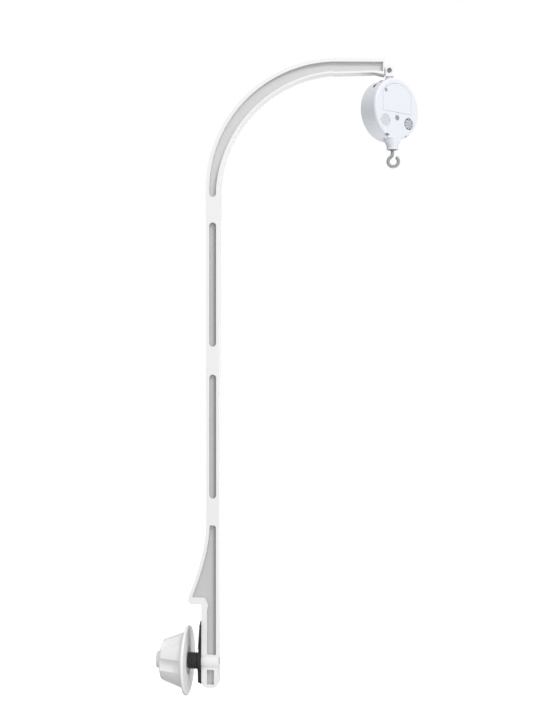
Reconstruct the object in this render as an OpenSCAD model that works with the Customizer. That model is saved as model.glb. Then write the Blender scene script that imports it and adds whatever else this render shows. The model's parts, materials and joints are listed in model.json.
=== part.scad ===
// Crib mobile arm with a screw clamp, three plug-together arm sections and a
// swivelling music box whose geared motor turns a hook.
// Row frame: the origin is the centre of the ledge's underside, where the
// bracket rests on the crib rail. +Z is up, +X is the way the arm reaches.

/* [Arm] */
// Distance from the ledge centre to the axis of the straight poles
pole_x = 23; // [20:0.5:26]
// Depth of a pole section along X
pole_d = 16.4; // [15:0.1:18]
// Width of the arm and the bracket along Y
arm_w = 16; // [14:0.5:20]
// Height of the bracket's top, where the lower pole plugs on
bracket_top = 103.8; // [100:0.1:110]
// Length of each straight pole
pole_len = 190.3; // [150:0.1:200]
// Straight stretch of the curved arm below its bend
arm_straight = 36.1; // [33:0.1:45]
// Radius of the bend's centre line
bend_r = 150; // [140:1:165]
// Thickness at the middle of the bend beyond that at its ends
bend_swell = 2.6; // [0:0.1:4]
// Reach of the arm's tip past the end of the bend
tip_run = 63.4; // [55:0.1:70]
// Droop of the tip over that run
tip_droop = 2.4; // [0:0.1:4]
// Depth of the side grooves
groove_depth = 5; // [2:0.5:5]
// Width of the side grooves on the poles
groove_w = 8.8; // [6:0.1:10]

/* [Clamp] */
// X of the jaw face
jaw_x = 8.6; // [7:0.1:10]
// X of the back of the clamp column
column_x = 30.2; // [27:0.1:31]
// Depth of the column's foot below the ledge
column_drop = 104; // [95:1:115]
// Depth of the bolt's axis below the ledge
bolt_drop = 72; // [65:1:75]
// Outer radius of the bolt's thread
bolt_r = 10.5; // [9:0.1:11]
// Pitch of the thread
thread_pitch = 2.9; // [2:0.1:4]
// Gap between the jaw and the pressure plate
jaw_gap = 17; // [15:0.1:24]
// Radius of the pressure plate
plate_r = 43; // [38:1:46]
// Radius of the knob at its skirt
knob_r = 36; // [30:1:38]
// Length of the knob's grip
knob_len = 30; // [22:1:32]

/* [Music box] */
// Height of the music box's centre
box_z = 613.9; // [608:0.1:625]
// X of the swivel axis and the centre of the music box
box_x = 242.9; // [238:0.1:246]
// Turn of the control face from the arm's plane
box_turn = 45; // [30:1:50]
// Radius of the case
case_r = 37.2; // [37:0.1:42]
// Half the thickness of the case
case_half = 13.5; // [13:0.5:15]
// Width of the rounded edge, across the face
edge_in = 2.8; // [2.5:0.1:6]
// Depth of the rounded edge, along the case's axis
edge_deep = 3.3; // [2.5:0.1:6]
// Wall of the case
wall = 2.2; // [1.8:0.1:2.6]
// Place of the joint between the two shells
split_y = 4; // [3:0.5:5]
// Offset of the output shaft towards the control face
output_y = -5; // [-6:0.5:-4]
// Radius of the hook's wire
wire_r = 2.05; // [1.8:0.05:2.3]
// Radius of the hook's ring
ring_r = 6.3; // [5.5:0.1:7]
// Depth of the ring's centre below the case's centre
ring_drop = 63.5; // [61:0.5:66]

/* [Gears] */
// Module of the gears
gear_m = 0.5; // [0.5:0.1:0.5]
// Teeth on the motor's pinion
pinion_n = 9; // [9:1:9]
// Teeth on the idler's wheel
idler_n = 36; // [36:1:36]
// Teeth on the idler's pinion
idler_pinion_n = 10; // [10:1:10]
// Teeth on the output gear
output_n = 20; // [20:1:20]

/* [Hidden] */
$fn = 96;
eps = 0.01;
fit = 0.08;
snug = 0.02;

// Arm
joint_1 = bracket_top + pole_len;
joint_2 = joint_1 + pole_len;
bend_z = joint_2 + arm_straight;
bend_x = pole_x + bend_r;
tip_x = bend_x + tip_run;
tip_flare = 12;
spigot_w = 9.6;
spigot_len = 25;
socket_band = 29;
groove_gap = 6;

// Bracket flare from the pole's width down to the ledge's tip
ledge_tip = -8;
ledge_t = 8.6;
flare_a = 26.5;
flare_p = 1.65;
flare_top = 100;
function flare_x(z) = pole_x - pole_d/2
    - flare_a * pow(max(0, (flare_top - z)/flare_top), flare_p);

// Clamp
bolt_z = -bolt_drop;
plate_x = jaw_x - jaw_gap;
plate_t = 3.5;
knob_x = plate_x - plate_t;
hub_r = 10.4;
hub_len = 7;
bolt_end = -27.5;
root_r = 5;
boss_band = 10;
thread_room = 12.4;
root_len = 13;

// Music box, in its own frame: face towards -Y, +X to its right
door_top_r = 31;
door_half = 24;
door_low = -4.6;
door_t = 1.8;
tub_half = 25.5;
tub_low = -4;
tub_high = 17.6;
tub_back = 0.2;
cell_r = 5.25;
cell_len = 44.5;
cell_y = -5.5;
cell_z = [1.35, 12.05];
speaker_x = 20;
speaker_z = -16.2;
speaker_r = 8;
button_z = -11;
button_r = 3;
slot_angles = [24, 44];
slot_len = 7.6;
slot_w = 3;
slot_y = -1;
screw_spots = [[29.3, 14], [-29.3, 14], [11, -29.8], [-11, -29.8]];
door_screw_spot = [-19, 0, 20.5];
boss_top = 40.6;
boss_r = 5.2;
stud_r = 2.6;
neck_low = -49.2;
shaft_r = 3.5;
bush_r = 5.2;

// Gear train, seen along the shafts
idler_dist = gear_m * (idler_pinion_n + output_n) / 2;
pinion_dist = gear_m * (pinion_n + idler_n) / 2;
idler_y = 1;
idler_x = -sqrt(pow(idler_dist, 2) - pow(idler_y - output_y, 2));
pinion_x = idler_x - pinion_dist;
wheel_z = -21;
pair_z = -27;

// Arm pin
pin_z = 662.3;
pin_r = 2;
tongue_half = 2.5;
ear_t = 3.4;
ear_gap = 0.35;

module in_box() { translate([box_x, 0, box_z]) rotate([0, 0, box_turn]) children(); }
module along_x(x) { translate([x, 0, 0]) rotate([0, 90, 0]) children(); }
module along_y(y) { translate([0, y, 0]) rotate([-90, 0, 0]) children(); }
// Draws a flat XZ outline and thickens it from y0 to y1
module slab(y0, y1) {
    translate([0, y1, 0]) rotate([90, 0, 0]) linear_extrude(y1 - y0) children();
}
module obround(x, z0, z1, w) {
    translate([x - w/2, z0 + w/2]) square([w, z1 - z0 - w]);
    translate([x, z0 + w/2]) circle(w/2);
    translate([x, z1 - w/2]) circle(w/2);
}
module grooves() {
    slab(-arm_w, -arm_w/2 + groove_depth) children();
    slab(arm_w/2 - groove_depth, arm_w) children();
}
module socket(z) {
    translate([pole_x - spigot_w/2 - 0.2, -spigot_w/2 - 0.2, z - eps])
        cube([spigot_w + 0.4, spigot_w + 0.4, spigot_len + 1.5]);
}
module spigot(z) {
    translate([pole_x - spigot_w/2, -spigot_w/2, z - eps])
        cube([spigot_w, spigot_w, spigot_len]);
}

// ---- Bracket and clamp ----

module bracket_outline() {
    foot_r = 8;
    difference() {
        union() {
            polygon(concat(
                [[pole_x + pole_d/2, bracket_top], [pole_x - pole_d/2, bracket_top]],
                [for (z = [flare_top:-5:15]) [flare_x(z), z]],
                [[ledge_tip, 9.5], [ledge_tip, 3], [ledge_tip + 3, 0],
                    [jaw_x, 0], [column_x, 0]]));
            translate([jaw_x, -column_drop + foot_r])
                square([column_x - jaw_x, column_drop - foot_r + eps]);
            translate([jaw_x + foot_r, -column_drop])
                square([column_x - jaw_x - 2*foot_r, foot_r + eps]);
            for (x = [jaw_x + foot_r, column_x - foot_r])
                translate([x, -column_drop + foot_r]) circle(foot_r);
        }
    }
}
module bracket_recess() {
    rim = 4.4;
    right = column_x - 3;
    polygon(concat(
        [[right, bolt_z + boss_band - 0.6], [right, bracket_top - rim - 2],
            [right - 2, bracket_top - rim], [pole_x - pole_d/2 + rim, bracket_top - rim]],
        [for (z = [flare_top - 6:-5:14]) [flare_x(z) + rim, z]],
        [[ledge_tip + 5, ledge_t], [jaw_x + 4.6, ledge_t], [jaw_x + rim + 4.4, -1.5],
            [jaw_x + rim + 2.8, -6], [jaw_x + rim + 2.8, bolt_z + boss_band - 0.6]]));
}
module clamp_bracket() {
    color("white") difference() {
        union() {
            slab(-arm_w/2, arm_w/2) bracket_outline();
            spigot(bracket_top);
            translate([0, 0, bolt_z]) along_x(jaw_x)
                cylinder(r = boss_band, h = column_x - jaw_x);
        }
        difference() {
            grooves() union() {
                bracket_recess();
                translate([jaw_x + 7.2, -column_drop + 4])
                    square([8.8, column_drop + bolt_z - boss_band - 3.4]);
            }
            translate([0, 0, bolt_z]) along_x(jaw_x)
                cylinder(r = boss_band, h = column_x - jaw_x);
        }
        translate([0, 0, bolt_z]) along_x(jaw_x - eps)
            cylinder(r = root_r + snug, h = root_len + 0.5);
        translate([0, 0, bolt_z]) along_x(jaw_x) cylinder(r = 2.2, h = 30);
        translate([0, 0, bolt_z]) along_x(column_x - 3) cylinder(r = 4.4, h = 4);
    }
}
module jaw_pad() {
    pad_half = arm_w/2 + 0.9;
    color([0.05, 0.05, 0.05]) difference() {
        union() {
            slab(-pad_half, pad_half)
                polygon([[jaw_x, -21], [jaw_x, -column_drop + 5],
                    [jaw_x - 4.2, -column_drop + 7], [jaw_x - 4.6, bolt_z],
                    [jaw_x - 1.2, -21]]);
            translate([0, 0, bolt_z]) along_x(jaw_x - 4.2)
                cylinder(r = bolt_r + 4, h = 4.2);
        }
        translate([0, 0, bolt_z]) along_x(jaw_x - 10)
            cylinder(r = bolt_r + 0.7, h = 11);
    }
}
module clamp_bolt() {
    turns = floor((jaw_x - bolt_end - 1) / thread_pitch);
    core = bolt_r - 1.3;
    color([0.12, 0.12, 0.13]) translate([0, 0, bolt_z]) {
        rotate([0, 90, 0]) rotate_extrude()
            polygon(concat(
                [[0, bolt_end], [core - 1, bolt_end]],
                [for (i = [0:turns - 1], k = [0, 1, 2])
                    [k == 0 ? core : bolt_r,
                        bolt_end + 1 + (i + [0.1, 0.45, 0.62][k]) * thread_pitch]],
                [[core, jaw_x - 0.4], [core, jaw_x], [root_r, jaw_x],
                    [root_r, jaw_x + root_len], [1.7, jaw_x + root_len],
                    [1.7, jaw_x + root_len - 9], [0, jaw_x + root_len - 9]]));
    }
}
module bolt_screw() {
    color("silver") translate([0, 0, bolt_z]) difference() {
        union() {
            along_x(column_x - 2.8) cylinder(r = 4, h = 2.2);
            along_x(jaw_x + root_len - 8) cylinder(r = 1.68, h = column_x - jaw_x - root_len + 5.3);
        }
        along_x(column_x - 1.6) for (a = [0, 90])
            rotate([0, 0, a]) translate([-0.45, -2.2, 0]) cube([0.9, 4.4, 3]);
    }
}
module pressure_plate() {
    color("white") translate([0, 0, bolt_z]) difference() {
        rotate([0, 90, 0]) rotate_extrude()
            polygon([[14 + fit, knob_x], [plate_r - 0.8, knob_x], [plate_r, knob_x + 0.8],
                [plate_r, plate_x - 1], [plate_r - 1, plate_x], [17, plate_x],
                [17, plate_x - 1.3], [14 + fit, plate_x - 1.3]]);
    }
}
module plate_ring() {
    color("silver") translate([0, 0, bolt_z]) difference() {
        along_x(plate_x - 1.15) cylinder(r = 16.6, h = 0.9);
        along_x(plate_x - 3) cylinder(r = 13 + snug, h = 5);
        translate([plate_x - 3, -1.5, 0]) cube([5, 3, 20]);
    }
}
module knob_profile() {
    shoulder = 4;
    end_r = 26;
    polygon(concat(
        [[0, 0], [knob_r, 0], [knob_r, 1.6]],
        [[knob_r - 1.4, 2.8]],
        [for (a = [15:15:90]) [end_r - shoulder + shoulder*cos(a), knob_len - shoulder + shoulder*sin(a)]],
        [[hub_r + 3, knob_len], [hub_r, knob_len + 1.6], [hub_r, knob_len + hub_len - 1],
            [hub_r - 1, knob_len + hub_len], [0, knob_len + hub_len]]));
}
module clamp_knob() {
    lobes = 6;
    flute_r = 11;
    flute_tilt = 70;
    color("white") translate([0, 0, bolt_z]) difference() {
        union() {
            translate([knob_x - 0.3, 0, 0]) rotate([0, -90, 0]) rotate_extrude() knob_profile();
            along_x(knob_x - 0.4) cylinder(r = 14, h = plate_t + 0.15 - 1.2);
            along_x(knob_x - 0.4) cylinder(r = 13, h = plate_t - 0.1);
        }
        along_x(bolt_end - thread_room) cylinder(r = bolt_r + fit, h = 60);
        for (i = [0:lobes - 1]) rotate([(i + 0.5) * 360/lobes, 0, 0])
            translate([knob_x - knob_len - 2, 0, knob_r - 4.4])
                rotate([0, flute_tilt, 0]) cylinder(r = flute_r, h = knob_len - 2);
    }
}

// ---- Arm ----

module pole(z0, z1) {
    color("white") {
        difference() {
            translate([pole_x - pole_d/2, -arm_w/2, z0]) cube([pole_d, arm_w, z1 - z0]);
            grooves() obround(pole_x, z0 + socket_band, z1 - groove_gap, groove_w);
            socket(z0);
        }
        spigot(z1);
    }
}
module lower_pole() { pole(bracket_top, joint_1); }
module upper_pole() { pole(joint_1, joint_2); }

// Area between two arcs of the bend, with the straight runs at both ends;
// inset is how far it lies inside the arm's own edge
module arm_outline(inset, z_low, x_high) {
    half = pole_d/2 + 0.5 - inset;
    spread = inset > 0 ? 3 : 1;
    across = bend_swell * 2.35 + spread;
    down = across + spread;
    outer_r = bend_r + half;
    inner_r = norm([bend_r - half + across, down]);
    under = bend_z - down + sqrt(pow(inner_r, 2) - across*across);
    difference() {
        union() {
            intersection() {
                translate([bend_x, bend_z]) circle(outer_r, $fn = 240);
                translate([bend_x - outer_r - 1, bend_z - eps]) square([outer_r + 1, outer_r + 1]);
            }
            translate([pole_x - half, z_low]) square([2*half, bend_z - z_low]);
            polygon([[bend_x - eps, under - 1], [bend_x - eps, bend_z + outer_r],
                [x_high, bend_z + outer_r - tip_droop * (x_high - bend_x)/tip_run],
                [x_high, under - (inset > 0 ? 2.4 : 3.9)],
                [tip_x - tip_flare, under - 1.2]]);
        }
        intersection() {
            translate([bend_x + across, bend_z - down]) circle(inner_r, $fn = 240);
            translate([pole_x + half, bend_z - eps])
                square([bend_r - half, outer_r]);
        }
    }
}
module curved_arm() {
    groove_in = (pole_d + 1 - groove_w)/2;
    color("white") difference() {
        union() {
            slab(-arm_w/2, arm_w/2) arm_outline(0, joint_2, tip_x);
            slab(-tongue_half, tongue_half) {
                translate([tip_x - 2, pin_z - 4.4]) square([box_x - tip_x + 2, 8.8]);
                translate([box_x, pin_z]) circle(4.4);
            }
        }
        grooves() {
            arm_outline(groove_in, joint_2 + socket_band + groove_w/2 - 3, tip_x - 1.2);
            translate([pole_x, joint_2 + socket_band + groove_w/2 - 3]) circle(groove_w/2);
        }
        socket(joint_2);
        slab(-20, 20) translate([box_x, pin_z]) circle(pin_r + fit);
    }
}

// ---- Hanger ----

module hanger() {
    ear_x = 4.8;
    ear_low = box_z + boss_top + 0.3;
    ear_high = pin_z + 7.4;
    inner = tongue_half + ear_gap;
    color("white") difference() {
        union() {
            for (y = [-inner - ear_t, inner]) slab(y, y + ear_t) {
                translate([box_x - ear_x, ear_low]) square([2*ear_x, ear_high - 3.4 - ear_low]);
                translate([box_x - ear_x + 3.4, ear_low])
                    square([2*ear_x - 6.8, ear_high - ear_low]);
                for (s = [-1, 1]) translate([box_x + s*(ear_x - 3.4), ear_high - 3.4]) circle(3.4);
            }
            translate([box_x - ear_x, -inner - ear_t, ear_low])
                cube([2*ear_x, 2*(inner + ear_t), 2.2]);
            translate([box_x, 0, box_z + boss_top - 12]) cylinder(r = stud_r, h = 13);
        }
        slab(-20, 20) translate([box_x, pin_z]) circle(pin_r + snug);
        translate([box_x, 0, box_z + boss_top - 10.4]) difference() {
            cylinder(r = stud_r + 1, h = 1);
            translate([0, 0, -1]) cylinder(r = stud_r - 0.8, h = 3);
        }
    }
}
module hanger_pin() {
    reach = tongue_half + ear_gap + ear_t;
    color([0.15, 0.15, 0.16]) translate([box_x, 0, pin_z]) difference() {
        union() {
            along_y(-reach) cylinder(r = pin_r, h = 2*reach);
            along_y(-reach - 0.9) cylinder(r = 2.9, h = 0.9);
            along_y(reach) cylinder(r = 2.6, h = 0.7);
        }
        translate([-1.7, -reach - 1, -0.35]) cube([3.4, 0.6, 0.7]);
    }
}
module swivel_clip() {
    color("silver") translate([box_x, 0, box_z + boss_top - 10.3]) difference() {
        cylinder(r = 5, h = 0.8);
        translate([0, 0, -1]) cylinder(r = stud_r - 0.78, h = 3);
        translate([-1.2, 0, -1]) cube([2.4, 6, 3]);
    }
}

// ---- Music box shells ----

// Solid of the case, shrunk by t all round
module case_solid(t) {
    rotate([90, 0, 0]) rotate_extrude($fn = 180)
        polygon(concat(
            [[0, case_half - t]],
            [for (a = [90:-15:0]) [case_r - edge_in + (edge_in - t)*cos(a),
                case_half - edge_deep + (edge_deep - t)*sin(a)]],
            [for (a = [0:-15:-90]) [case_r - edge_in + (edge_in - t)*cos(a),
                -case_half + edge_deep + (edge_deep - t)*sin(a)]],
            [[0, -case_half + t]]));
}
module front_half() { translate([-100, -100, -100]) cube([200, 100 + split_y, 200]); }
module top_boss() {
    translate([0, 0, 30]) cylinder(r = boss_r + 0.6, h = boss_top - 32);
    translate([0, 0, 30]) cylinder(r = boss_r, h = boss_top - 30);
}
module fairing() {
    slab(-2.6, 2.6)
        polygon([[0, 30], [4.4, boss_top - 1.3], [9, boss_top - 3.1], [22.4, 29.4], [20, 28]]);
}
module neck() {
    flush = case_half - 0.2;
    intersection() {
        translate([0, output_y, 0]) rotate_extrude()
            polygon([[0, -33.9], [11.6, -33.9], [10.6, -38.2], [8.6, -41], [7.5, -44],
                [6.9, -46.4], [7.1, -47], [7.1, neck_low + 0.5], [6.6, neck_low], [0, neck_low]]);
        translate([-20, -flush, -60]) cube([40, 2*flush, 40]);
    }
}
module door_shape(gap) {
    intersection() {
        circle(door_top_r - gap, $fn = 180);
        translate([-door_half + gap, door_low + gap])
            square([2*(door_half - gap), 2*door_half]);
    }
}
module switch_spot(a) { rotate([0, -a, 0]) translate([0, slot_y, case_r]) children(); }

module front_cover() {
    color([0.9, 0.92, 0.97]) in_box() difference() {
        union() {
            intersection() {
                difference() {
                    case_solid(0);
                    case_solid(wall);
                }
                front_half();
            }
            difference() {
                union() {
                    top_boss();
                    fairing();
                    neck();
                }
                case_solid(wall);
            }
            translate([0, 0, boss_top - 9.2]) intersection() {
                cylinder(r = boss_r, h = 4);
                front_half();
            }
            // Battery tub and the posts that the boards and screws use
            translate([-tub_half - 1.2, -case_half + wall - eps, tub_low - 1.2])
                cube([2*tub_half + 2.4, case_half - wall + tub_back + 1.2, tub_high - tub_low + 2.4]);
            for (s = screw_spots) translate([s[0], 0, s[1]])
                along_y(-case_half + wall - eps) cylinder(r = 2.8, h = case_half - wall + split_y);
            for (x = [-5.6, 5.6]) translate([x, 0, button_z - 3.6])
                along_y(-case_half + wall - eps) cylinder(r = 1.2, h = 7.8);
            translate(door_screw_spot) along_y(-case_half + wall - eps) cylinder(r = 2.7, h = 8);
        }
        // Tub, door seat and door opening
        translate([-tub_half, -case_half + wall, tub_low])
            cube([2*tub_half, case_half - wall + tub_back, tub_high - tub_low]);
        slab(-case_half - 1, -case_half + door_t + 0.2) door_shape(0);
        slab(-case_half - 1, -case_half + wall + eps)
            translate([-22.8, tub_low]) square([45.6, tub_high - tub_low]);
        translate(door_screw_spot) along_y(-case_half + 1) cylinder(r = 1.5, h = 7);
        for (x = [-14, 14]) translate([x - 3.2, -case_half + door_t - 0.1, door_low - 2])
            cube([6.4, 1.7, 4]);
        // Speaker openings, button hole, rim slots and small edge slots
        for (x = [-speaker_x, speaker_x]) translate([x, 0, speaker_z])
            along_y(-case_half - 1) cylinder(r = speaker_r, h = wall + 2);
        translate([0, 0, button_z]) along_y(-case_half - 1)
            cylinder(r = button_r + 0.3, h = wall + 2);
        for (a = slot_angles) switch_spot(a)
            translate([-slot_len/2, -slot_w/2, -wall - 2]) cube([slot_len, slot_w, wall + 4]);
        for (a = [-25, 25]) rotate([0, 180 + a, 0])
            translate([-2.6, -case_half - 1, case_r - 2.6]) cube([5.2, 6, 4]);
        // Bores for the hanger's stud and the output bush
        cylinder(r = stud_r + fit, h = 100);
        translate([0, output_y, neck_low - 1]) cylinder(r = bush_r + snug, h = 18);
        for (s = screw_spots) translate([s[0], -5, s[1]]) along_y(0) cylinder(r = 1.25, h = 20);
    }
}
module rear_shell() {
    lip = 0.15;
    color([0.9, 0.92, 0.97]) in_box() difference() {
        union() {
            difference() {
                case_solid(0);
                case_solid(wall);
                translate([-100, -100, -100]) cube([200, 100 + split_y + 0.05, 200]);
            }
            difference() {
                along_y(split_y - 1.6) cylinder(r = case_r - wall - lip, h = 3, $fn = 180);
                along_y(split_y - 2) cylinder(r = case_r - wall - 1.3, h = 4, $fn = 180);
            }
            for (s = screw_spots) translate([s[0], 0, s[1]])
                along_y(split_y + 0.1) cylinder(r = 3.6, h = case_half - split_y - 1);
        }
        translate([0, 0, 30]) cylinder(r = boss_r + 0.8, h = 20);
        translate([0, output_y, -60]) cylinder(r = 11.8, h = 26.2);
        for (s = screw_spots) translate([s[0], 0, s[1]]) {
            along_y(split_y - 3) cylinder(r = 3.1, h = 3.05);
            along_y(split_y - 1) cylinder(r = 1.7, h = 20);
            along_y(case_half - 4) cylinder(r = 2.9, h = 20);
        }
    }
}
module speaker_grilles() {
    rows = 3;
    hole = 2.2;
    color([0.3, 0.3, 0.33]) in_box() for (x = [-speaker_x, speaker_x])
        translate([x, 0, speaker_z]) difference() {
            along_y(-case_half + 0.4) cylinder(r = speaker_r - 0.05, h = 1);
            for (i = [-rows:rows], k = [-rows:rows])
                if (norm([i, k]) * hole < speaker_r - 1.2)
                    translate([i * hole, 0, k * hole]) along_y(-case_half) cylinder(r = 0.75, h = 2);
        }
}

// ---- Door and controls ----

module battery_door() {
    color([0.9, 0.92, 0.97]) in_box() difference() {
        union() {
            slab(-case_half, -case_half + door_t) door_shape(0.3);
            for (x = [-14, 14]) translate([x - 3, -case_half + door_t - eps, door_low - 1.7])
                cube([6, 1.1, 3.4]);
        }
        translate(door_screw_spot) {
            along_y(-case_half - 1) cylinder(r = 2.5, h = 1.9);
            along_y(-case_half - 1) cylinder(r = 1.3, h = 5);
        }
    }
}
module door_screw() {
    color("silver") in_box() translate(door_screw_spot) difference() {
        union() {
            along_y(-case_half + 0.1) cylinder(r = 2.35, h = 0.8);
            along_y(-case_half + 0.5) cylinder(r = 1.05, h = 2.6);
        }
        translate([-1.6, -case_half, -0.3]) cube([3.2, 0.6, 0.6]);
        translate([-0.3, -case_half, -1.6]) cube([0.6, 0.6, 3.2]);
    }
}
module batteries() {
    color([0.8, 0.55, 0.2]) in_box() for (i = [0, 1])
        translate([0, cell_y, cell_z[i]]) rotate([0, i*180, 0]) {
            along_x(-cell_len/2) cylinder(r = cell_r, h = cell_len - 0.8);
            along_x(cell_len/2 - 1) cylinder(r = 1.9, h = 1);
        }
}
module battery_contacts() {
    side = tub_half - 0.6;
    color("silver") in_box() for (i = [0, 1], s = [-1, 1])
        translate([0, cell_y, cell_z[i]]) {
            translate([s*side - 0.2, -4, -4.2]) cube([0.4, 8, 8.4]);
            for (k = [0:1]) along_x(s*(side - 0.2 - k*0.9) - (s > 0 ? 0.9 : 0)) difference() {
                cylinder(r = 2.6 - k*0.6, h = 0.9);
                translate([0, 0, -1]) cylinder(r = 1.9 - k*0.6, h = 3);
            }
        }
}
module circuit_board() {
    board_y = 2.6;
    color([0.1, 0.4, 0.2]) in_box() {
        translate([-19, board_y, 0]) cube([38, 1.2, 23]);
        translate([-5, board_y + 1.2 - eps, 8]) cube([10, 1.6, 8]);
        for (x = [-13, 12]) translate([x, 0, 17]) along_y(board_y + 1.2 - eps) cylinder(r = 2.4, h = 5);
    }
}
module button_board() {
    board_y = -3.5;
    color([0.1, 0.4, 0.2]) in_box() {
        translate([-7, board_y, button_z - 5]) cube([14, 1.2, 10.6]);
        translate([-2.6, board_y - 3.2, button_z - 2.6]) cube([5.2, 3.2 + eps, 5.2]);
        translate([0, 0, button_z]) along_y(board_y - 3.8) cylinder(r = 1.4, h = 1);
    }
}
module power_button() {
    color([0.55, 0.57, 0.62]) in_box() translate([0, 0, button_z]) {
        along_y(-case_half - 0.7) cylinder(r = button_r, h = wall + 1.1);
        along_y(-case_half + wall + 0.3) cylinder(r = button_r + 1.2, h = 0.8);
        along_y(-case_half + wall + 1) cylinder(r = 1.5, h = 2);
    }
}
module rim_switch(a) {
    color([0.08, 0.08, 0.09]) in_box() switch_spot(a) {
        translate([-1.7, -1.2, -3.4]) cube([3.4, 2.4, 3.9]);
        translate([-2.6, -2.4, -3.9]) cube([5.2, 4.8, 1.2]);
    }
}
module volume_switch() { rim_switch(slot_angles[0]); }
module mode_switch() { rim_switch(slot_angles[1]); }
module speaker(x) {
    color([0.2, 0.2, 0.22]) in_box() translate([x, 0, speaker_z]) {
        along_y(-case_half + wall + 0.1) difference() {
            cylinder(r = speaker_r + 0.6, h = 1.6);
            translate([0, 0, -1]) cylinder(r = speaker_r - 1, h = 2);
        }
        along_y(-case_half + wall + 1.6) cylinder(r = 5, h = 3);
    }
}
module speaker_left() { speaker(-speaker_x); }
module speaker_right() { speaker(speaker_x); }

// ---- Drive ----

// Straight-flanked teeth with room between them; a gap lies on +X when
// phase is 0.5, a tooth when it is 0
function tooth_point(n, i, k) =
    let (r = gear_m * n / 2, r_tip = r + 0.85*gear_m, r_root = r - 1.15*gear_m,
        half = gear_m * PI/4 - 0.09, slope = 0.36,
        radius = (k == 1 || k == 2) ? r_tip : r_root,
        side = (k < 2 ? -1 : 1) * (half - slope*(radius - r)) / radius * 180/PI)
    [radius*cos(i*360/n + side), radius*sin(i*360/n + side)];
module gear(n, phase, h) {
    rotate([0, 0, phase * 360/n]) linear_extrude(h)
        polygon([for (i = [0:n - 1], k = [0:3]) tooth_point(n, i, k)]);
}
idler_angle = atan2(idler_y - output_y, idler_x);

module output_gear() {
    color([0.95, 0.95, 0.9]) in_box() translate([0, output_y, pair_z]) difference() {
        rotate([0, 0, idler_angle]) gear(output_n, 0, 4);
        translate([0, 0, -1]) cylinder(r = 2 + snug, h = 6);
    }
}
module idler_gear() {
    color([0.95, 0.95, 0.9]) in_box() translate([idler_x, idler_y, 0]) difference() {
        union() {
            translate([0, 0, pair_z]) rotate([0, 0, idler_angle + 180])
                gear(idler_pinion_n, 0.5, wheel_z - pair_z + eps);
            translate([0, 0, wheel_z]) rotate([0, 0, 180]) gear(idler_n, 0, 2);
        }
        translate([0, 0, pair_z - 1]) cylinder(r = 0.8 + 0.06, h = 12);
    }
}
module motor_pinion() {
    color("gold") in_box() translate([pinion_x, idler_y, wheel_z - 0.5]) difference() {
        gear(pinion_n, 0.5, 2.5);
        translate([0, 0, -1]) cylinder(r = 0.75 + 0.06, h = 6);
    }
}
module gear_motor() {
    low = -17.4;
    color("silver") in_box() translate([pinion_x, idler_y, 0]) {
        translate([-6, -5, low]) cube([12, 10, 6]);
        intersection() {
            translate([0, 0, low + 6 - eps]) cylinder(r = 6, h = 5.9);
            translate([-6, -5, low]) cube([12, 10, 20]);
        }
        translate([0, 0, wheel_z]) cylinder(r = 0.75, h = low - wheel_z + eps);
    }
}
module idler_axle() {
    color("silver") in_box() translate([idler_x, idler_y, pair_z - 2.6])
        cylinder(r = 0.8, h = wheel_z - pair_z + 6.4);
}
// Plate that carries the motor and the idler's axle, with a foot on each
// side resting on the rear shell
module gear_plate() {
    top = -17.5;
    color([0.85, 0.85, 0.82]) in_box() difference() {
        union() {
            translate([pinion_x - 6, -4.4, top - 1.4]) cube([22.5, 15.2, 1.4]);
            translate([pinion_x + 6.4, 7.9, top - 1.4]) cube([9, 2.9, 8]);
        }
        translate([pinion_x, idler_y, top - 2]) cylinder(r = 1.5, h = 3);
        translate([idler_x, idler_y, top - 2]) cylinder(r = 0.8 + snug, h = 3);
    }
}
module output_shaft() {
    color("silver") in_box() translate([0, output_y, 0]) difference() {
        union() {
            translate([0, 0, neck_low + 0.2]) cylinder(r = shaft_r, h = 20);
            translate([0, 0, -30]) cylinder(r = 2, h = 7.4);
            translate([0, 0, -33.1]) cylinder(r = 5, h = 1.4);
        }
        translate([0, 0, neck_low - 1]) cylinder(r = wire_r - 0.1 + snug, h = 9.4);
    }
}
module output_bush() {
    color([0.75, 0.6, 0.3]) in_box() translate([0, output_y, 0]) difference() {
        union() {
            translate([0, 0, neck_low + 0.4]) cylinder(r = bush_r, h = 15.2);
            translate([0, 0, -34.3]) cylinder(r = bush_r + 0.9, h = 1.1);
        }
        translate([0, 0, neck_low - 1]) cylinder(r = shaft_r + fit, h = 20);
    }
}
module hook() {
    start = 100;
    sweep = 318;
    lean = ring_r * cos(start);
    color([0.8, 0.8, 0.82]) in_box() translate([0, output_y, 0]) rotate([0, 0, -box_turn]) {
        translate([-lean, 0, -ring_drop]) {
            rotate([90, 0, 0]) rotate([0, 0, start]) rotate_extrude(angle = sweep)
                translate([ring_r, 0]) circle(wire_r);
            for (a = [start, start + sweep])
                translate([ring_r*cos(a), 0, ring_r*sin(a)]) sphere(wire_r + 0.12);
        }
        translate([0, 0, -ring_drop + ring_r*sin(start)])
            cylinder(r = wire_r - 0.1, h = ring_drop - ring_r*sin(start) + neck_low + 8);
    }
}
module case_screws() {
    color("silver") in_box() for (s = screw_spots) translate([s[0], 0, s[1]]) difference() {
        union() {
            along_y(case_half - 3.9) cylinder(r = 2.6, h = 1.6);
            along_y(-3) cylinder(r = 1.2, h = case_half);
        }
        translate([-1.8, case_half - 2.9, -0.35]) cube([3.6, 1, 0.7]);
        translate([-0.35, case_half - 2.9, -1.8]) cube([0.7, 1, 3.6]);
    }
}
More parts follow.
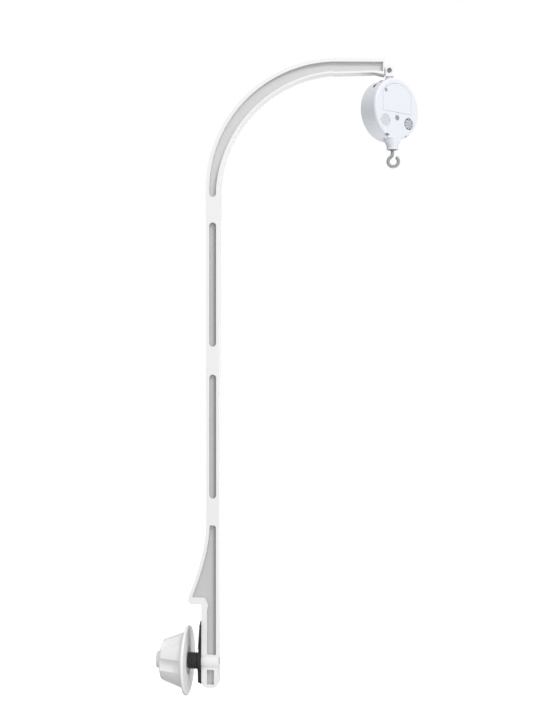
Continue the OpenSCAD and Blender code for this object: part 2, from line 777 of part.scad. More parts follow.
// A lead: straight runs joined by ball corners
module lead(points) {
    for (i = [0:len(points) - 2]) {
        run = points[i + 1] - points[i];
        translate(points[i]) rotate([0, acos(run[2]/norm(run)), atan2(run[1], run[0])])
            cylinder(r = 0.55, h = norm(run), $fn = 24);
    }
    for (p = points) translate(p) sphere(0.7, $fn = 24);
}
module wiring() {
    color("red") in_box() {
        lead([[-17, 4.6, 4], [-17, 9, -1], [-27, 8, -8], [-27, -5, -14]]);
        lead([[17, 4.6, 4], [17, 8, -4], [26, 2, -10], [26, -5.4, -15]]);
        lead([[6, 4.6, 2], [6, 6, -4], [6, -1.4, -8]]);
    }
}

clamp_bracket();
jaw_pad();
clamp_bolt();
bolt_screw();
pressure_plate();
clamp_knob();
plate_ring();
lower_pole();
upper_pole();
curved_arm();
hanger();
hanger_pin();
swivel_clip();
front_cover();
rear_shell();
speaker_grilles();
battery_door();
door_screw();
batteries();
battery_contacts();
circuit_board();
button_board();
power_button();
volume_switch();
mode_switch();
speaker_left();
speaker_right();
gear_motor();
motor_pinion();
idler_gear();
idler_axle();
gear_plate();
output_gear();
output_shaft();
output_bush();
hook();
case_screws();
wiring();
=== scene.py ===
import json
import math

import bmesh
import bpy
from mathutils import Matrix, Vector


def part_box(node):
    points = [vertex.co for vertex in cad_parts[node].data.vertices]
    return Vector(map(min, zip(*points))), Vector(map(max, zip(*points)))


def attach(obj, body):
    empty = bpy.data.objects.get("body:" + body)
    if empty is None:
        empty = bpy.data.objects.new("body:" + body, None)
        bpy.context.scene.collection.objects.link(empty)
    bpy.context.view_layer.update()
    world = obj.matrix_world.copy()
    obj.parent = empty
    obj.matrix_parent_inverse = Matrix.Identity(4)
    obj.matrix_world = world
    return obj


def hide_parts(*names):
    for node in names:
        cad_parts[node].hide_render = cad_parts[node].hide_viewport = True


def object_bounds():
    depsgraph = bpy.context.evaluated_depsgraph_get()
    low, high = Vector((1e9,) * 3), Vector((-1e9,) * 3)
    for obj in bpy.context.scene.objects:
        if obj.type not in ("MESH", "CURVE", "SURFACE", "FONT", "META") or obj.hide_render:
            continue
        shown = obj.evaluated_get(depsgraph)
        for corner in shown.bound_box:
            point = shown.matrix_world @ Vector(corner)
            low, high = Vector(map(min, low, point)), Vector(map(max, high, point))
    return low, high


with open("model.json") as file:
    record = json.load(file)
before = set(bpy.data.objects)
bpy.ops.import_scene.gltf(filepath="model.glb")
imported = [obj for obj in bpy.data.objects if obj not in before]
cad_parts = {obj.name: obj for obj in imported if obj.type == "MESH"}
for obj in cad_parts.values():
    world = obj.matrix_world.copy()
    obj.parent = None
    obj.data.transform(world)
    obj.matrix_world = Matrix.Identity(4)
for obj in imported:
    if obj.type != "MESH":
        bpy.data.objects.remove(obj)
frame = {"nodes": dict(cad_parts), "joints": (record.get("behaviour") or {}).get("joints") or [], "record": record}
cad_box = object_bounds()
MM = 0.001

# ---- Places and sizes, read from the frame ----


def middle(node):
    """Centre of a CAD node's box."""
    low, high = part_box(node)
    return (low + high) / 2


def joint(name):
    """The joint of that name."""
    return next(j for j in frame["joints"] if j["name"] == name)


def mount(name):
    """The mount of that name."""
    return next(m for m in frame["record"]["mounts"] if m["name"] == name)


POLE = middle("lower_pole")
SWIVEL = Vector(joint("hanger_swivel")["pos_m"])
OUTPUT = Vector(joint("output_spin")["pos_m"])
PRESS = Vector(joint("button_press")["axis"])
FACE_TURN = math.atan2(-PRESS.x, PRESS.y)
CASE = Vector((SWIVEL.x, SWIVEL.y, middle("rear_shell").z))
CASE_FRAME = Matrix.Translation(CASE) @ Matrix.Rotation(FACE_TURN, 4, "Z")


# ---- Camera, light and floor ----

VIEW_TURN = math.radians(7)
VIEW_DISTANCE = 1.4
VIEW_HEIGHT = 0.302
VIEW_SIDE = 0.067
FRAME_HEIGHT = 0.909


def camera():
    """Level camera a little to the arm's reaching side."""
    data = bpy.data.cameras.new("camera")
    data.sensor_width = 36
    data.lens = 36 * VIEW_DISTANCE / FRAME_HEIGHT
    data.clip_end = 20
    target = Vector((POLE.x + VIEW_SIDE, 0, VIEW_HEIGHT))
    away = Vector((math.sin(VIEW_TURN), -math.cos(VIEW_TURN), 0))
    made = bpy.data.objects.new("camera", data)
    made.location = target + away * VIEW_DISTANCE
    made.rotation_euler = (math.pi / 2, 0, VIEW_TURN)
    bpy.context.scene.collection.objects.link(made)
    bpy.context.scene.camera = made


def lamp(name, place, aim, size, power, spread=180):
    """A square soft lamp, its beam spread in degrees."""
    data = bpy.data.lights.new(name, "AREA")
    data.size = size
    data.energy = power
    data.spread = math.radians(spread)
    made = bpy.data.objects.new(name, data)
    made.location = place
    made.rotation_euler = (Vector(aim) - Vector(place)).to_track_quat("-Z", "Y").to_euler()
    bpy.context.scene.collection.objects.link(made)


SKY_TOWARDS = Vector((0.45, -0.6, 0.66)).normalized()
SKY_MIDDLE = 0.67
SKY_SWING = 0.5
FLOOR_DROP = 0.25


def sky():
    """Soft surround, brighter at the upper right, plain white where the camera sees it."""
    world = bpy.data.worlds.new("studio")
    world.use_nodes = True
    tree = world.node_tree
    shine = tree.nodes["Background"]
    plain = tree.nodes.new("ShaderNodeBackground")
    plain.inputs["Color"].default_value = (1, 1, 1, 1)
    coords = tree.nodes.new("ShaderNodeTexCoord")
    side = tree.nodes.new("ShaderNodeVectorMath")
    side.operation = "DOT_PRODUCT"
    side.inputs[1].default_value = SKY_TOWARDS
    strength = tree.nodes.new("ShaderNodeMath")
    strength.operation = "MULTIPLY_ADD"
    strength.inputs[1].default_value = SKY_SWING
    strength.inputs[2].default_value = SKY_MIDDLE
    seen = tree.nodes.new("ShaderNodeLightPath")
    either = tree.nodes.new("ShaderNodeMixShader")
    shine.inputs["Color"].default_value = (1, 1, 1, 1)
    for start, end in ((coords.outputs["Generated"], side.inputs[0]),
                       (side.outputs["Value"], strength.inputs[0]),
                       (strength.outputs[0], shine.inputs["Strength"]),
                       (seen.outputs["Is Camera Ray"], either.inputs[0]),
                       (shine.outputs[0], either.inputs[1]),
                       (plain.outputs[0], either.inputs[2]),
                       (either.outputs[0], tree.nodes["World Output"].inputs["Surface"])):
        tree.links.new(start, end)
    bpy.context.scene.world = world


def studio():
    """Soft surround, lamps for sheen and for the arm's underside, and a pale floor."""
    sky()
    bpy.context.scene.view_settings.view_transform = "Standard"
    aim = (CASE.x / 2, 0, 0.35)
    lamp("key", (1.2, -1.3, 1.7), aim, 0.35, 13)
    lamp("rim", (-0.4, 1.4, 1.5), aim, 1.0, 0.6)
    lamp("fill", (0.34, 0.05, -0.32), (0.1, 0, 0.6), 0.3, 0.9, 70)
    shape = bmesh.new()
    bmesh.ops.create_grid(shape, x_segments=1, y_segments=1, size=20)
    data = bpy.data.meshes.new("floor")
    shape.to_mesh(data)
    shape.free()
    floor = bpy.data.objects.new("floor", data)
    floor.location.z = cad_box[0][2] - FLOOR_DROP
    floor.visible_diffuse = False
    floor.visible_glossy = False
    bpy.context.scene.collection.objects.link(floor)
    kit = Kit("floor_paint")
    kit.finish((0.96, 0.96, 0.96), 0.9, Emission_Color=(1, 1, 1, 1), Emission_Strength=0.35)
    data.materials.append(kit.material)


# ---- Material kit ----


class Value:
    """A socket of a material, with the arithmetic that the finishes use."""

    def __init__(self, kit, socket):
        self.kit = kit
        self.socket = socket

    def math(self, operation, first, second=None):
        values = [first] if second is None else [first, second]
        return self.kit.node("ShaderNodeMath", {"operation": operation}, values)

    def __add__(self, other):
        return self.math("ADD", self, other)

    def __radd__(self, other):
        return self.math("ADD", other, self)

    def __sub__(self, other):
        return self.math("SUBTRACT", self, other)

    def __rsub__(self, other):
        return self.math("SUBTRACT", other, self)

    def __mul__(self, other):
        return self.math("MULTIPLY", self, other)

    def __rmul__(self, other):
        return self.math("MULTIPLY", other, self)

    def ramp(self, low, high):
        """0 below low and 1 above high, smooth between."""
        return self.kit.node("ShaderNodeMapRange", {"interpolation_type": "SMOOTHSTEP"},
                             [self, low, high, 0.0, 1.0])


class Kit:
    """Builds one material."""

    def __init__(self, name):
        self.material = bpy.data.materials.new(name)
        self.material.use_nodes = True
        self.tree = self.material.node_tree
        self.shader = self.tree.nodes["Principled BSDF"]

    def node(self, kind, settings=None, values=(), output=0):
        """Adds a node, sets its options, then its values or links."""
        made = self.tree.nodes.new(kind)
        for key, value in (settings or {}).items():
            setattr(made, key, value)
        pairs = values.items() if isinstance(values, dict) else enumerate(values)
        for key, value in pairs:
            if isinstance(value, Value):
                self.tree.links.new(value.socket, made.inputs[key])
            else:
                made.inputs[key].default_value = value
        return Value(self, made.outputs[output])

    def place(self, scale=(1, 1, 1)):
        """Object coordinates, scaled."""
        coords = self.node("ShaderNodeTexCoord", output="Object")
        return self.node("ShaderNodeMapping", values={"Vector": coords, "Scale": scale})

    def noise(self, scale, detail=2.0, stretch=(1, 1, 1), roughness=0.5):
        """Smooth noise from 0 to 1, scale in cells per metre."""
        values = {"Vector": self.place(stretch), "Scale": scale, "Detail": detail,
                  "Roughness": roughness}
        return self.node("ShaderNodeTexNoise", {}, values, "Fac")

    def blend(self, amount, first, second):
        """A colour between two colours."""
        values = {"Factor": amount, "A": colour(first), "B": colour(second)}
        made = self.tree.nodes.new("ShaderNodeMix")
        made.data_type = "RGBA"
        sockets = {"Factor": made.inputs[0], "A": made.inputs[6], "B": made.inputs[7]}
        for key, value in values.items():
            if isinstance(value, Value):
                self.tree.links.new(value.socket, sockets[key])
            else:
                sockets[key].default_value = value
        return Value(self, made.outputs[2])

    def bump(self, height, depth, normal=None):
        """A normal roughened by height, depth in metres."""
        values = {"Height": height, "Distance": depth, "Strength": 1.0}
        if normal is not None:
            values["Normal"] = normal
        return self.node("ShaderNodeBump", {}, values)

    def finish(self, base, roughness, normal=None, **fixed):
        """Sets the shader's sockets; only base, roughness, metal and normal may vary."""
        varying = {"Base Color": colour(base), "Roughness": roughness}
        if normal is not None:
            varying["Normal"] = normal
        for key, value in {**varying, **{k.replace("_", " "): v for k, v in fixed.items()}}.items():
            if isinstance(value, Value):
                self.tree.links.new(value.socket, self.shader.inputs[key])
            else:
                self.shader.inputs[key].default_value = value
        return self.material


def colour(value):
    """Adds alpha to a plain colour and leaves a socket as it is."""
    return value if isinstance(value, Value) else (*value, 1.0)


# ---- Finishes ----


SPARK_DEPTH = 0.000012
SPARK_SCALE = 2600
# Painted shade on groove floors: darker across to the right of the pole groove, lighter above the bend onto the
# curved arm.
GROOVE_SHADE = (POLE.x - 3 * MM, POLE.x + 6 * MM)
BEND_START = (0.47, 0.56)


def moulded_plastic(name, base, tone, roughness, painted_groove_shade=None):
    """Injection-moulded plastic: fine spark texture, flow clouds, faint handling marks.

    The last argument holds three greys of painted shade for the groove floors: the lit left side, the shaded right
    side, and on the curved arm.
    """
    kit = Kit(name)
    clouds = kit.noise(14, 4.0, (1, 1, 0.35))
    fine = kit.noise(SPARK_SCALE, 2.0)
    rub = kit.noise(180, 6.0, (1, 1, 0.2), 0.7).ramp(0.58, 0.72)
    normal = kit.bump(fine, SPARK_DEPTH)
    normal = kit.bump(kit.noise(90, 1.0), 0.00003, normal)
    tint = kit.blend(clouds, base, tone)
    if painted_groove_shade:
        # Groove floors are painted with shade: a grey that darkens towards the right side of each pole groove, and
        # a lighter grey up on the curved arm.
        floor = kit.node("ShaderNodeAttribute", {"attribute_name": "recess"}, output="Fac")
        coords = kit.node("ShaderNodeTexCoord", output="Object")
        across = kit.node("ShaderNodeSeparateXYZ", values=[coords], output="X")
        height = kit.node("ShaderNodeSeparateXYZ", values=[coords], output="Z")
        lit, shaded, high = ((grey, grey, grey) for grey in painted_groove_shade)
        pole_shade = kit.blend(across.ramp(*GROOVE_SHADE), lit, shaded)
        tint = kit.blend(floor, tint, kit.blend(height.ramp(*BEND_START), pole_shade, high))
    return kit.finish(tint, roughness + 0.06 * fine + 0.05 * clouds + 0.05 * rub, normal)


def ribbed_rubber():
    """Matte black rubber with a dusty bloom."""
    kit = Kit("pad_rubber")
    dust = kit.noise(220, 6.0, roughness=0.7).ramp(0.45, 0.8)
    fine = kit.noise(3200, 2.0)
    return kit.finish(kit.blend(dust, (0.012, 0.012, 0.013), (0.03, 0.03, 0.031)),
                      0.72 + 0.12 * dust, kit.bump(fine, 0.00004))


def bolt_plastic():
    """Glass-filled black plastic, scuffed grey on the crests."""
    kit = Kit("bolt_black")
    scuff = kit.noise(420, 6.0, (3, 1, 1), 0.7).ramp(0.52, 0.75)
    fine = kit.noise(2400, 3.0)
    return kit.finish(kit.blend(scuff, (0.03, 0.03, 0.033), (0.085, 0.085, 0.09)),
                      0.42 + 0.2 * scuff, kit.bump(fine, 0.00003))


def drawn_metal(name, base, tone, rough):
    """Plated or polished metal with drawing lines."""
    kit = Kit(name)
    lines = kit.noise(500, 3.0, (1, 1, 6))
    stain = kit.noise(160, 4.0)
    return kit.finish(kit.blend(stain, base, tone), rough + 0.18 * lines,
                      kit.bump(lines, 0.00001), Metallic=1.0)


def circuit_green():
    """Solder mask with darker tracks."""
    kit = Kit("board_green")
    tracks = kit.noise(900, 1.0, (1, 1, 0.2)).ramp(0.5, 0.56)
    return kit.finish(kit.blend(tracks, (0.012, 0.13, 0.05), (0.03, 0.22, 0.09)),
                      0.28 + 0.15 * tracks, kit.bump(tracks, 0.00003))


def cell_foil():
    """Printed copper-coloured foil sleeve, a little worn."""
    kit = Kit("cell_copper")
    wear = kit.noise(300, 4.0)
    return kit.finish(kit.blend(wear, (0.58, 0.3, 0.09), (0.46, 0.23, 0.07)),
                      0.26 + 0.14 * wear, kit.bump(wear, 0.00001), Metallic=0.9)


FINISHES = {
    # arm_white paints shade on its groove floors with the three greys.
    "arm_white": moulded_plastic("arm_white", (0.87, 0.87, 0.87), (0.84, 0.84, 0.84), 0.3,
                                 painted_groove_shade=(0.58, 0.24, 0.66)),
    "case_white": moulded_plastic("case_white", (0.73, 0.755, 0.8), (0.7, 0.725, 0.775), 0.28),
    "pad_rubber": ribbed_rubber(),
    "bolt_black": bolt_plastic(),
    "steel": drawn_metal("steel", (0.62, 0.62, 0.64), (0.45, 0.45, 0.47), 0.3),
    "pin_dark": drawn_metal("pin_dark", (0.3, 0.3, 0.31), (0.2, 0.2, 0.21), 0.42),
    "grille_dark": moulded_plastic("grille_dark", (0.06, 0.062, 0.07), (0.04, 0.042, 0.05), 0.5),
    "button_grey": moulded_plastic("button_grey", (0.36, 0.39, 0.46), (0.31, 0.34, 0.4), 0.38),
    "switch_black": moulded_plastic("switch_black", (0.025, 0.025, 0.028), (0.04, 0.04, 0.043), 0.42),
    "hook_grey": moulded_plastic("hook_grey", (0.35, 0.355, 0.37), (0.31, 0.315, 0.33), 0.26),
    "gear_nylon": moulded_plastic("gear_nylon", (0.82, 0.8, 0.7), (0.76, 0.73, 0.62), 0.42),
    "brass": drawn_metal("brass", (0.72, 0.5, 0.18), (0.58, 0.38, 0.12), 0.25),
    "motor_steel": drawn_metal("motor_steel", (0.6, 0.6, 0.6), (0.5, 0.5, 0.5), 0.28),
    "board_green": circuit_green(),
    "cell_copper": cell_foil(),
    "wire_red": moulded_plastic("wire_red", (0.5, 0.02, 0.015), (0.42, 0.015, 0.012), 0.35),
}


def dress_frame():
    """Gives every CAD node the finish of its slot."""
    for part in frame["record"]["subparts"]:
        data = frame["nodes"][part["node"]].data
        data.materials.clear()
        data.materials.append(FINISHES[part["material_slot"]])


SLOT_OF = {part["node"]: part["material_slot"] for part in frame["record"]["subparts"]}
BODY_OF = {node: body for body, nodes in frame["record"]["behaviour"]["bodies"].items()
           for node in nodes}


# ---- Making pieces ----


def add_piece(name, mesh, node, body=None, material=None):
    """Links a finished mesh that rides on a body and stands for a CAD node."""
    made = bpy.data.objects.new(name, mesh)
    bpy.context.scene.collection.objects.link(made)
    mesh.materials.clear()
    slot = material or SLOT_OF[node]
    mesh.materials.append(FINISHES[slot])
    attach(made, body or BODY_OF[node])
    if node:
        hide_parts(node)
    return made


def baked(source):
    """A plain mesh of the object with its modifiers applied."""
    graph = bpy.context.evaluated_depsgraph_get()
    graph.update()
    return bpy.data.meshes.new_from_object(source.evaluated_get(graph), depsgraph=graph)


EDGE_SEGMENTS = 3
EDGE_CORNER = math.radians(32)
FLAT_ANGLE = math.radians(0.6)
WELD = 0.002 * MM


def soften(node, width):
    """A copy of a CAD node with its sharp edges rounded to width."""
    shape = bmesh.new()
    shape.from_mesh(frame["nodes"][node].data)
    bmesh.ops.remove_doubles(shape, verts=shape.verts, dist=WELD)
    bmesh.ops.dissolve_limit(shape, angle_limit=FLAT_ANGLE, verts=shape.verts,
                             edges=shape.edges)
    draft = bpy.data.meshes.new(node + "_draft")
    shape.to_mesh(draft)
    shape.free()
    draft.polygons.foreach_set("use_smooth", [True] * len(draft.polygons))
    source = bpy.data.objects.new(node + "_draft", draft)
    bpy.context.scene.collection.objects.link(source)
    round_off = source.modifiers.new("round", "BEVEL")
    round_off.width = width
    round_off.segments = EDGE_SEGMENTS
    round_off.limit_method = "ANGLE"
    round_off.angle_limit = EDGE_CORNER
    round_off.harden_normals = False
    round_off.miter_outer = "MITER_ARC"
    even = source.modifiers.new("even", "WEIGHTED_NORMAL")
    even.weight = 60
    mesh = baked(source)
    bpy.data.objects.remove(source)
    mesh.name = node + "_shell"
    return add_piece(mesh.name, mesh, node)


def shade(mesh, corner=34):
    """Smooth shading with sharp edges past the corner angle."""
    mesh.polygons.foreach_set("use_smooth", [True] * len(mesh.polygons))
    mesh.set_sharp_from_angle(angle=math.radians(corner))


# Grooved parts, and the band of groove floors that takes painted shade.
GROOVED = ("clamp_bracket", "lower_pole", "upper_pole", "curved_arm")
GROOVE_FLOOR = (2.6 * MM, 3.7 * MM)


def mark_painted_shade(mesh):
    """Marks the floors of the side grooves, by how far they lie from the middle, as the mask for painted shade."""
    low, high = GROOVE_FLOOR
    mark = mesh.attributes.new("recess", "FLOAT", "CORNER")
    heights = [abs(corner.co.y) for corner in mesh.vertices]
    mark.data.foreach_set("value", [1.0 if low < heights[loop.vertex_index] < high else 0.0
                                    for loop in mesh.loops])


def from_faces(name, points, faces):
    """A mesh from points in metres and faces."""
    mesh = bpy.data.meshes.new(name)
    mesh.from_pydata([tuple(p) for p in points], [], faces)
    shape = bmesh.new()
    shape.from_mesh(mesh)
    bmesh.ops.recalc_face_normals(shape, faces=shape.faces)
    shape.to_mesh(mesh)
    shape.free()
    shade(mesh)
    return mesh


def joined(name, meshes):
    """One mesh out of several."""
    shape = bmesh.new()
    for mesh in meshes:
        shape.from_mesh(mesh)
    whole = bpy.data.meshes.new(name)
    shape.to_mesh(whole)
    shape.free()
    shade(whole)
    return whole


def turned(name, outline, steps=64, closed=False):
    """Outline points (along, radius) in mm turned about local Z."""
    points, faces = [], []
    count = len(outline)
    for i in range(steps):
        angle = 2 * math.pi * i / steps
        for along, radius in outline:
            points.append(Vector((radius * math.cos(angle), radius * math.sin(angle), along)) * MM)
    for i in range(steps):
        for k in range(count if closed else count - 1):
            after, above = (i + 1) % steps, (k + 1) % count
            faces.append((i * count + k, after * count + k, after * count + above,
                          i * count + above))
    if not closed:
        faces.append(tuple(i * count for i in range(steps)))
        faces.append(tuple(i * count + count - 1 for i in range(steps)))
    return from_faces(name, points, faces)


def swept(name, path, radius):
    """A round rod along a path of points in metres, with closed ends."""
    data = bpy.data.curves.new(name, "CURVE")
    data.dimensions = "3D"
    data.bevel_depth = radius
    data.bevel_resolution = 6
    data.use_fill_caps = True
    run = data.splines.new("POLY")
    run.points.add(len(path) - 1)
    for spot, point in zip(run.points, path):
        spot.co = (*point, 1.0)
    source = bpy.data.objects.new(name, data)
    bpy.context.scene.collection.objects.link(source)
    mesh = baked(source)
    bpy.data.objects.remove(source)
    shade(mesh, 50)
    return mesh


# ---- Clamp ----

BOLT_LOW, BOLT_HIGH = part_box("clamp_bolt")
BOLT_R = (BOLT_HIGH.z - BOLT_LOW.z) / 2 / MM
THREAD_PITCH = 2.9
THREAD_DEPTH = 1.4
THREAD_START = 1.6
BOLT_ROOT_LEN = 13
BOLT_ROOT_R = 5
TO_X = Matrix.Rotation(math.pi / 2, 4, "Y")


def thread():
    """The helical thread on its core, right-handed, with the root that sits in the bracket."""
    length = (BOLT_HIGH.x - BOLT_LOW.x) / MM - BOLT_ROOT_LEN - 0.2
    steps = 40
    total = int((length - THREAD_START - 1.2) / THREAD_PITCH * steps)
    crest = BOLT_R - 0.05
    foot = crest - THREAD_DEPTH
    outline = [(-1.15, foot), (-0.5, crest), (0.5, crest), (1.15, foot)]
    points, faces = [], []
    for i in range(total + 1):
        angle = 2 * math.pi * i / steps
        fade = min(1.0, i / 12, (total - i) / 12)
        for along, radius in outline:
            out = foot + (radius - foot) * fade
            points.append(Vector((-out * math.sin(angle), out * math.cos(angle),
                                  THREAD_START + along + THREAD_PITCH * i / steps)) * MM)
    for i in range(total):
        for k in range(3):
            faces.append((4 * i + k, 4 * i + k + 1, 4 * i + k + 5, 4 * i + k + 4))
        faces.append((4 * i + 3, 4 * i, 4 * i + 4, 4 * i + 7))
    faces += [(0, 1, 2, 3), tuple(4 * total + k for k in (3, 2, 1, 0))]
    ridge = from_faces("thread_ridge", points, faces)
    core_r = BOLT_R - 1.3
    core = turned("bolt_core", [(0, core_r - 1), (1, core_r), (length, core_r),
                                (length, BOLT_ROOT_R), (length + BOLT_ROOT_LEN, BOLT_ROOT_R)])
    whole = joined("bolt_thread", [ridge, core])
    axis = Vector((BOLT_LOW.x, 0, (BOLT_LOW.z + BOLT_HIGH.z) / 2))
    whole.transform(Matrix.Translation(axis) @ TO_X)
    add_piece("bolt_thread", whole, "clamp_bolt")


# ---- Repeated details, made with Geometry Nodes ----


def box_mesh(name, size):
    """A block centred on the origin, size in mm."""
    shape = bmesh.new()
    bmesh.ops.create_cube(shape, size=1.0)
    bmesh.ops.scale(shape, vec=Vector(size) * MM, verts=shape.verts)
    mesh = bpy.data.meshes.new(name)
    shape.to_mesh(mesh)
    shape.free()
    return mesh


def pierced_cell(name, pitch, hole, thick):
    """A square plate with a round hole, sizes in mm."""
    steps = 16
    points, faces = [], []
    for i in range(steps):
        angle = 2 * math.pi * (i + 0.5) / steps
        east, north = math.cos(angle), math.sin(angle)
        reach = pitch / 2 / max(abs(east), abs(north))
        for radius, depth in ((reach, 0), (hole, 0), (hole, thick)):
            points.append(Vector((radius * east, radius * north, depth)) * MM)
    for i in range(steps):
        after = (i + 1) % steps
        for k in (0, 1):
            faces.append((3 * i + k, 3 * after + k, 3 * after + k + 1, 3 * i + k + 1))
    return from_faces(name, points, faces)


def repeated(name, unit, across, up, spacing, limit, material):
    """Copies of a unit mesh on a grid in its XY plane, kept within limit of the middle."""
    group = bpy.data.node_groups.new(name + "_grid", "GeometryNodeTree")
    inputs = {}
    for label, kind in (("Across", "NodeSocketInt"), ("Up", "NodeSocketInt"),
                        ("Width", "NodeSocketFloat"), ("Height", "NodeSocketFloat"),
                        ("Limit", "NodeSocketFloat"), ("Unit", "NodeSocketObject"),
                        ("Finish", "NodeSocketMaterial")):
        inputs[label] = group.interface.new_socket(label, in_out="INPUT", socket_type=kind)
    group.interface.new_socket("Geometry", in_out="OUTPUT", socket_type="NodeSocketGeometry")
    start = group.nodes.new("NodeGroupInput")
    grid = group.nodes.new("GeometryNodeMeshGrid")
    spot = group.nodes.new("GeometryNodeInputPosition")
    away = group.nodes.new("ShaderNodeVectorMath")
    away.operation = "LENGTH"
    outside = group.nodes.new("FunctionNodeCompare")
    trim = group.nodes.new("GeometryNodeDeleteGeometry")
    source = group.nodes.new("GeometryNodeObjectInfo")
    spread = group.nodes.new("GeometryNodeInstanceOnPoints")
    solid = group.nodes.new("GeometryNodeRealizeInstances")
    paint = group.nodes.new("GeometryNodeSetMaterial")
    end = group.nodes.new("NodeGroupOutput")
    for first, second in ((start.outputs["Width"], grid.inputs["Size X"]),
                          (start.outputs["Height"], grid.inputs["Size Y"]),
                          (start.outputs["Across"], grid.inputs["Vertices X"]),
                          (start.outputs["Up"], grid.inputs["Vertices Y"]),
                          (spot.outputs[0], away.inputs[0]),
                          (away.outputs["Value"], outside.inputs[0]),
                          (start.outputs["Limit"], outside.inputs[1]),
                          (grid.outputs["Mesh"], trim.inputs["Geometry"]),
                          (outside.outputs[0], trim.inputs["Selection"]),
                          (trim.outputs[0], spread.inputs["Points"]),
                          (start.outputs["Unit"], source.inputs["Object"]),
                          (source.outputs["Geometry"], spread.inputs["Instance"]),
                          (spread.outputs[0], solid.inputs[0]),
                          (solid.outputs[0], paint.inputs["Geometry"]),
                          (start.outputs["Finish"], paint.inputs["Material"]),
                          (paint.outputs[0], end.inputs[0])):
        group.links.new(first, second)
    pattern = bpy.data.objects.new(name + "_unit", unit)
    holder = bpy.data.objects.new(name + "_grid", bpy.data.meshes.new(name + "_grid"))
    for made in (pattern, holder):
        bpy.context.scene.collection.objects.link(made)
    spreader = holder.modifiers.new("spread", "NODES")
    spreader.node_group = group
    for label, value in (("Across", across), ("Up", up), ("Width", (across - 1) * spacing[0] * MM),
                         ("Height", (up - 1) * spacing[1] * MM), ("Limit", limit * MM),
                         ("Unit", pattern), ("Finish", FINISHES[material])):
        spreader[inputs[label].identifier] = value
    mesh = baked(holder)
    holder.modifiers.remove(spreader)
    bpy.data.objects.remove(holder)
    bpy.data.objects.remove(pattern)
    mesh.name = name
    return mesh


RIB_COUNT = 12
RIB_PITCH = 2.6
PAD_LEAN = math.atan2(3.4, 51)


def pad_ribs():
    """Gripping ribs across the rubber pad above the bolt."""
    low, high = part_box("jaw_pad")
    unit = box_mesh("rib", (high.y / MM * 2 - 1.6, 1.1, 1.2))
    mesh = repeated("pad_ribs", unit, 2, RIB_COUNT, (0.01, RIB_PITCH), 40, "pad_rubber")
    spot = Vector((low.x + 2.45 * MM, 0, high.z - 18.5 * MM))
    mesh.transform(Matrix.Translation(spot) @ Matrix.Rotation(PAD_LEAN, 4, "Y")
                   @ Matrix.Rotation(-math.pi / 2, 4, "Y") @ Matrix.Rotation(math.pi / 2, 4, "Z"))
    shade(mesh)
    add_piece("pad_ribs", mesh, None, "root", "pad_rubber")


# ---- Music box ----

GRILLE_R = 7.9
GRILLE_HOLE_R = 7.4
BAR_PITCH = 1.9
NET_PITCH = 2.1
GRILLE_X = 20
GRILLE_Z = -16.2
GRILLE_Y = -13.1
BUTTON_FACE = -14.18
MARK_R = 1.55
MARK_WIRE = 0.2
HOOK_RING = 6.3
HOOK_WIRE = 2.05
HOOK_JOIN = math.radians(130)
HOOK_TIP = math.radians(418)


def grilles():
    """Pierced right grille, barred left grille, each in a raised rim."""
    inner = GRILLE_HOLE_R - 0.2
    rim = [(0, GRILLE_HOLE_R), (0.12, inner), (0.9, inner), (0.9, GRILLE_R), (0.12, GRILLE_R),
           (0, GRILLE_R - 0.2)]
    to_face = Matrix.Rotation(-math.pi / 2, 4, "X")
    rims, bars = [], []
    for side in (-1, 1):
        ring = turned("rim", rim, 72, True)
        ring.transform(Matrix.Translation(Vector((side * GRILLE_X, GRILLE_Y, GRILLE_Z)) * MM) @ to_face)
        rims.append(ring)
    for i in range(-3, 4):
        x = BAR_PITCH * i
        chord = 2 * math.sqrt(GRILLE_HOLE_R ** 2 - x ** 2)
        bar = box_mesh("bar", (1.42, 0.5, chord))
        bar.transform(Matrix.Translation(Vector((x - GRILLE_X, GRILLE_Y + 0.5, GRILLE_Z)) * MM))
        bars.append(bar)
    for name, parts in (("grille_rims", rims), ("grille_bars", bars)):
        whole = joined(name, parts)
        whole.transform(CASE_FRAME)
        add_piece(name, whole, "speaker_grilles", material="case_white")
    cell = pierced_cell("cell", NET_PITCH, 0.76, 0.5)
    net = repeated("grille_net", cell, 7, 7, (NET_PITCH, NET_PITCH), 6.5, "case_white")
    net.transform(CASE_FRAME @ Matrix.Translation(Vector((GRILLE_X, GRILLE_Y + 0.3, GRILLE_Z)) * MM)
                  @ to_face)
    shade(net)
    add_piece("grille_net", net, "speaker_grilles", material="case_white")


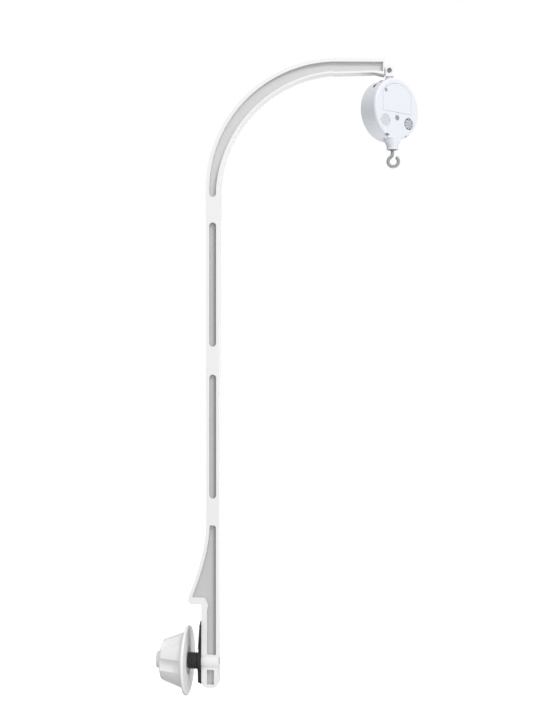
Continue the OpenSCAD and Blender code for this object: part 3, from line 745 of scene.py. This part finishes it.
def button_mark():
    """A raised open ring with a stroke through its gap, on the button's face."""
    centre = CASE_FRAME @ Vector((0, BUTTON_FACE * MM, 0))
    centre.z = middle("power_button").z
    across = Vector((PRESS.y, -PRESS.x, 0))
    arc = []
    for i in range(25):
        angle = math.radians(130 + 280 * i / 24)
        arc.append(centre + MARK_R * MM * (math.cos(angle) * across + math.sin(angle) * Vector((0, 0, 1))))
    stroke = [centre + Vector((0, 0, 0.5 * MM)), centre + Vector((0, 0, 1.9 * MM))]
    mark = joined("button_mark", [swept("arc", arc, MARK_WIRE * MM),
                                  swept("stroke", stroke, MARK_WIRE * MM)])
    add_piece("button_mark", mark, None, "button", "switch_black")


def hook_wire():
    """The hook: a straight stem that bends into an open ring."""
    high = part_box("hook")[1]
    centre = Vector((mount("hook_eye")["pos_m"][0], OUTPUT.y, mount("hook_eye")["pos_m"][2]))
    path = [Vector((OUTPUT.x, OUTPUT.y, high.z))]
    first = Vector((OUTPUT.x, OUTPUT.y, centre.z + 9.4 * MM))
    last = centre + HOOK_RING * MM * Vector((math.cos(HOOK_JOIN), 0, math.sin(HOOK_JOIN)))
    pulls = (first - Vector((0, 0, 2.8 * MM)),
             last + 1.6 * MM * Vector((math.sin(HOOK_JOIN), 0, -math.cos(HOOK_JOIN))))
    for i in range(13):
        t = i / 12
        path.append(first * (1 - t) ** 3 + pulls[0] * 3 * t * (1 - t) ** 2
                    + pulls[1] * 3 * t * t * (1 - t) + last * t ** 3)
    for i in range(1, 49):
        angle = HOOK_JOIN + (HOOK_TIP - HOOK_JOIN) * i / 48
        path.append(centre + HOOK_RING * MM * Vector((math.cos(angle), 0, math.sin(angle))))
    add_piece("hook_wire", swept("hook_wire", path, HOOK_WIRE * MM), "hook")


camera()
studio()
dress_frame()
for moulding, edge in (("clamp_bracket", 0.9), ("lower_pole", 1.0), ("upper_pole", 1.0),
                       ("curved_arm", 1.0), ("hanger", 0.5), ("front_cover", 0.25),
                       ("rear_shell", 0.25), ("battery_door", 0.25), ("pressure_plate", 0.6),
                       ("clamp_knob", 1.2), ("power_button", 0.3)):
    rounded = soften(moulding, edge * MM)
    # Groove floors get the mask that carries painted shade.
    if moulding in GROOVED:
        mark_painted_shade(rounded.data)
thread()
pad_ribs()
grilles()
button_mark()
hook_wire()
